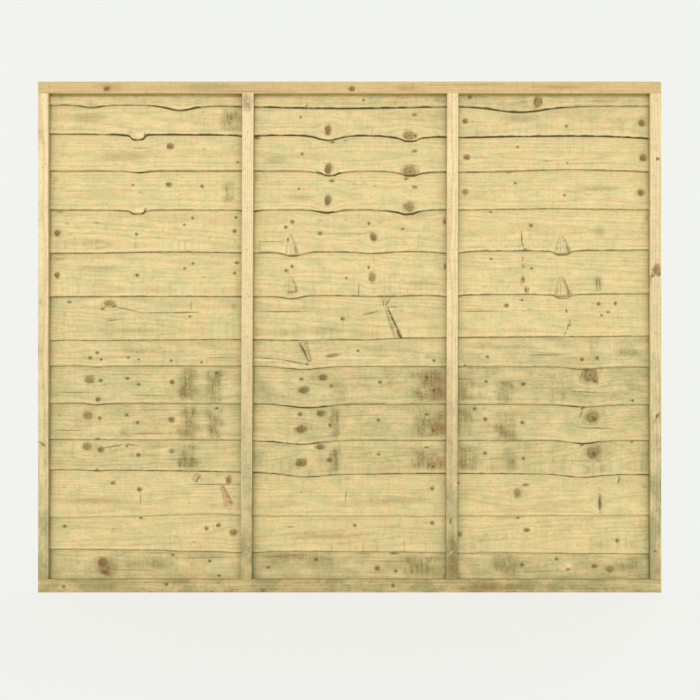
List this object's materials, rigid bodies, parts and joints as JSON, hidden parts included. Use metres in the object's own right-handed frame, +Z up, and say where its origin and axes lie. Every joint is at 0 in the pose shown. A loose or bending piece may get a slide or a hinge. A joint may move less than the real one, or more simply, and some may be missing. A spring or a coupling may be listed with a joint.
{
  "type": "lap fence panel",
  "caption": "Wooden lap fence panel: waney-edged boards overlapped like shingles, clamped between front and rear battens.",
  "frame": {"origin": "middle of the panel's width and depth, on the ground line under it", "axes": "+X along the fence to the right seen from the front, front faces -Y, +Z up"},
  "size_m": [1.83, 0.0494, 1.5],
  "materials": {
    "lap_boards": "sawn softwood, pressure treated, knotty, slightly green",
    "uprights": "sawn softwood batten, pale",
    "top_rail": "sawn softwood batten, warmer and darker",
    "bottom_rail": "sawn softwood batten, greenest and darkest",
    "rear_battens": "sawn softwood batten",
    "nails": "galvanised round wire nail"
  },
  "bodies": {
    "root": {"board_01": "lap_boards", "board_02": "lap_boards", "board_03": "lap_boards", "board_04": "lap_boards", "board_05": "lap_boards", "board_06": "lap_boards", "board_07": "lap_boards", "board_08": "lap_boards", "board_09": "lap_boards", "board_10": "lap_boards", "board_11": "lap_boards", "board_12": "lap_boards", "board_13": "lap_boards", "board_14": "lap_boards", "left_stile": "uprights", "right_stile": "uprights", "left_mid_batten": "uprights", "right_mid_batten": "uprights", "top_rail": "top_rail", "bottom_rail": "bottom_rail", "rear_left_batten": "rear_battens", "rear_left_mid_batten": "rear_battens", "rear_right_mid_batten": "rear_battens", "rear_right_batten": "rear_battens", "lap_nails": "nails", "rail_nails": "nails"}
  },
  "joints": []
}
